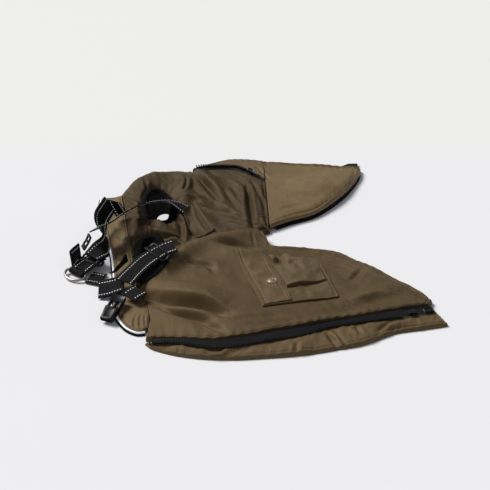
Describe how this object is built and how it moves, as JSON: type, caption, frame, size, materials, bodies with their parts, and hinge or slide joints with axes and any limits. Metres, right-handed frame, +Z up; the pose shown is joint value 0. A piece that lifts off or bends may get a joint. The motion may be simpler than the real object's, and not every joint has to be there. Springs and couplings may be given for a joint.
{
  "type": "dog winter jacket with harness",
  "caption": "Padded dog jacket with built-in webbing harness, opened flat with its outside up, back zip open.",
  "frame": {"origin": "middle of the laid-out garment's box, on the table", "axes": "+Z up from the table, +X towards the tail hem, +Y towards the far half of the back"},
  "size_m": [0.4404, 0.4614, 0.0452],
  "materials": {
    "olive_shell": "padded nylon with a soft sheen",
    "black_rib": "rib knit",
    "zip_tape": "woven tape",
    "zip_teeth": "moulded teeth",
    "black_plastic": "moulded",
    "webbing": "twill webbing with reflective stitch lines",
    "reflective_trim": "reflective piping",
    "snap": "satin",
    "nickel": "nickel plated"
  },
  "bodies": {
    "garment": {"chest_panel": "olive_shell", "strap_flap": "olive_shell", "collar": "olive_shell", "back_panel_near": "olive_shell", "placket_near": "olive_shell", "back_panel_far": "olive_shell", "placket_far": "olive_shell", "pocket_base": "olive_shell", "pocket_band": "olive_shell", "pocket_flap": "olive_shell", "leg_cuff_far": "black_rib", "leg_cuff_near": "black_rib", "collar_binding": "black_rib", "hem_lining_far": "black_rib", "zip_tape_near": "zip_tape", "zip_tape_far": "zip_tape", "zip_end_far": "zip_tape", "zip_teeth_near": "zip_teeth", "zip_teeth_far": "zip_teeth", "zip_slider_near": "black_plastic", "zip_box_near": "black_plastic", "zip_slider_far": "black_plastic", "girth_slide": "black_plastic", "neck_slide": "black_plastic", "strap_adjuster": "black_plastic", "buckle_plug": "black_plastic", "buckle_socket": "black_plastic", "strap_leash": "webbing", "strap_neck_rise": "webbing", "strap_neck_loop": "webbing", "strap_ring_top": "webbing", "strap_ring_far": "webbing", "strap_ring_near": "webbing", "strap_shoulder": "webbing", "strap_riser": "webbing", "strap_girth": "webbing", "strap_girth_under": "webbing", "strap_buckle": "webbing", "ring_keeper": "webbing", "collar_piping": "reflective_trim", "snap_button": "snap"},
    "d_ring": {"d_ring": "nickel"},
    "zip_pull": {"zip_pull_far": "nickel"}
  },
  "joints": [
    {"name": "d_ring_hinge", "type": "hinge", "parent": "garment", "child": "d_ring", "pos_m": [-0.20352, -0.06536, 0.0046], "axis": [-0.8042, 0.5944, 0], "range_deg": [0, 100]},
    {"name": "zip_pull_hinge", "type": "hinge", "parent": "garment", "child": "zip_pull", "pos_m": [0.00281, 0.17946, 0.01746], "axis": [-0.6589, -0.7522, 0], "range_deg": [0, 140]}
  ]
}
